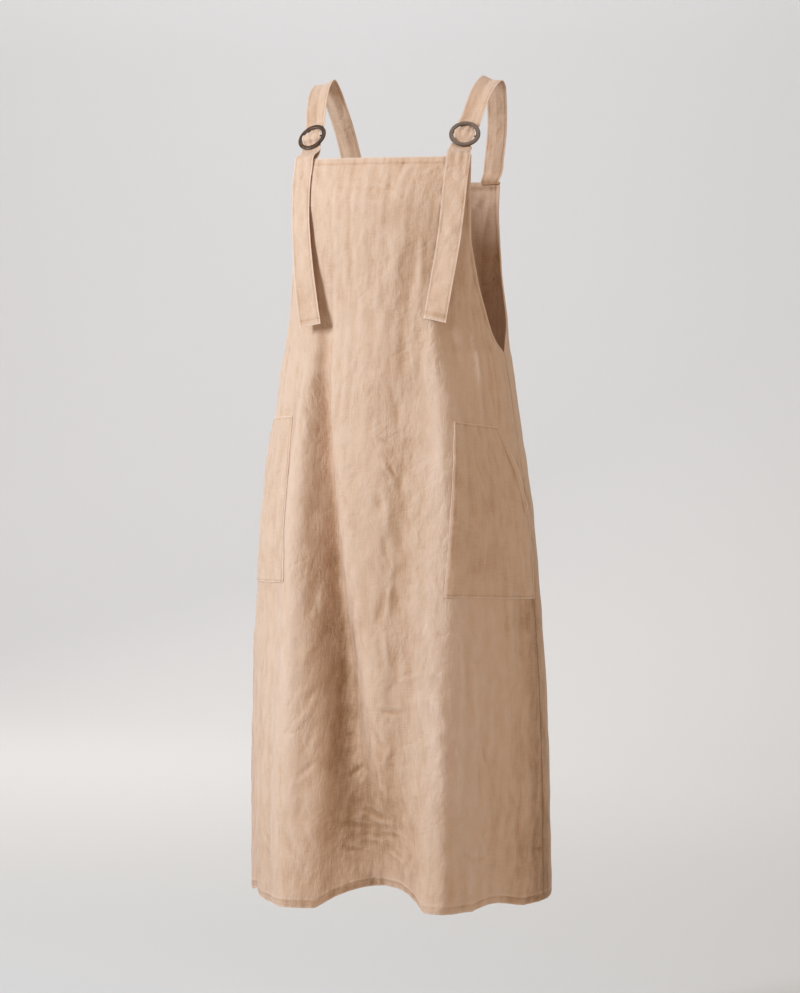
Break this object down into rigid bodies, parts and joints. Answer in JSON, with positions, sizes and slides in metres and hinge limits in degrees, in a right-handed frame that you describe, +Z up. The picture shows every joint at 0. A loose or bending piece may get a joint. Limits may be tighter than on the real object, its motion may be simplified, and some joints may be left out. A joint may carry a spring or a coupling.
{
  "type": "pinafore dress",
  "caption": "Sleeveless midi pinafore dress in washed linen, with a bib front, patch pockets and straps that thread through ring slides, hollow as worn.",
  "frame": {"origin": "middle of the wearer's shoulder line, level with the tops of the two straps", "axes": "+Z up, -Y towards the front (the bib), +X towards the wearer's left"},
  "size_m": [0.4325, 0.3926, 1.1441],
  "materials": {
    "washed_linen": "matte plain-weave linen, softly crumpled",
    "slide_horn": "dark brown horn look, satin"
  },
  "bodies": {
    "root": {"front_panel": "washed_linen", "back_panel": "washed_linen", "pocket_left": "washed_linen", "pocket_right": "washed_linen", "strap_left": "washed_linen", "strap_right": "washed_linen", "tab_left": "washed_linen", "tab_right": "washed_linen", "slide_left": "slide_horn", "slide_right": "slide_horn"}
  },
  "joints": []
}
